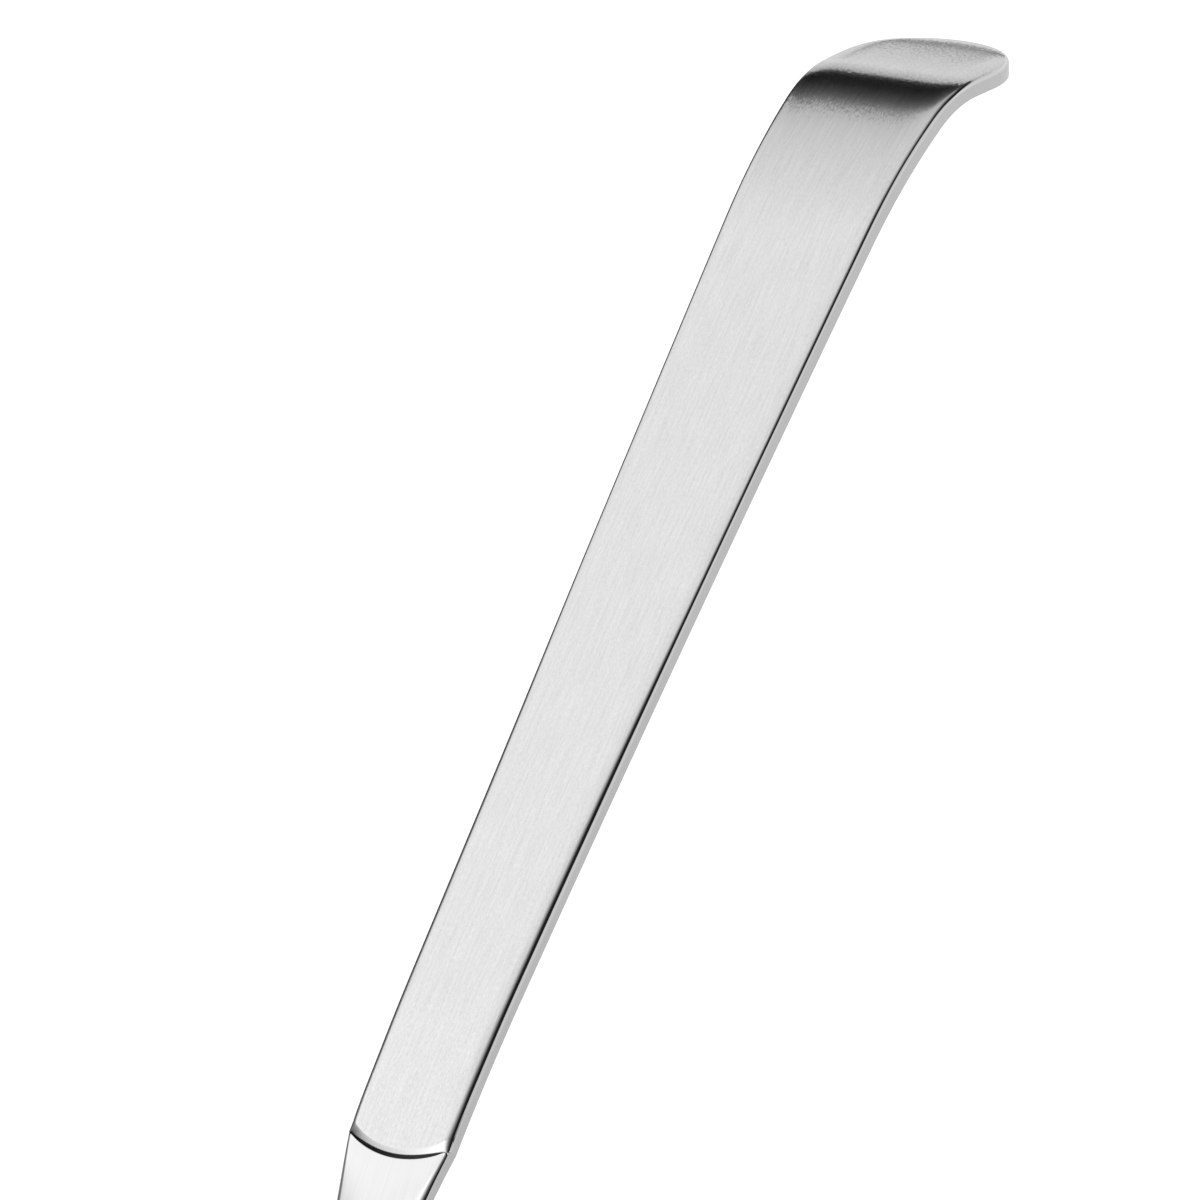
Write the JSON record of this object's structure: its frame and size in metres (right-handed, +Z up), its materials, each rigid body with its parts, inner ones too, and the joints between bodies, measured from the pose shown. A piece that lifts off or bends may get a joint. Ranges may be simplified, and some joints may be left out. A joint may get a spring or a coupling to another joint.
{
  "type": "soup ladle",
  "caption": "Soup ladle: a round drawn steel bowl riveted to a tapering satin strip handle, bent over at its end into a hook; dips out soup and hangs on a pot rim or rail.",
  "frame": {"origin": "middle of the bowl's flat base", "axes": "+Z up with the bowl's rim level; the handle rises from the bowl's back and leans away towards +Y; -Y is the side towards the one who looks into the bowl, +X is to the right of that view"},
  "size_m": [0.09, 0.2425, 0.2114],
  "materials": {
    "bowl": "polished",
    "handle": "satin, with a polished neck",
    "rivets": "polished"
  },
  "bodies": {
    "root": {"bowl": "bowl", "handle": "handle", "rivet_upper": "rivets", "rivet_lower_left": "rivets", "rivet_lower_right": "rivets"}
  },
  "joints": []
}
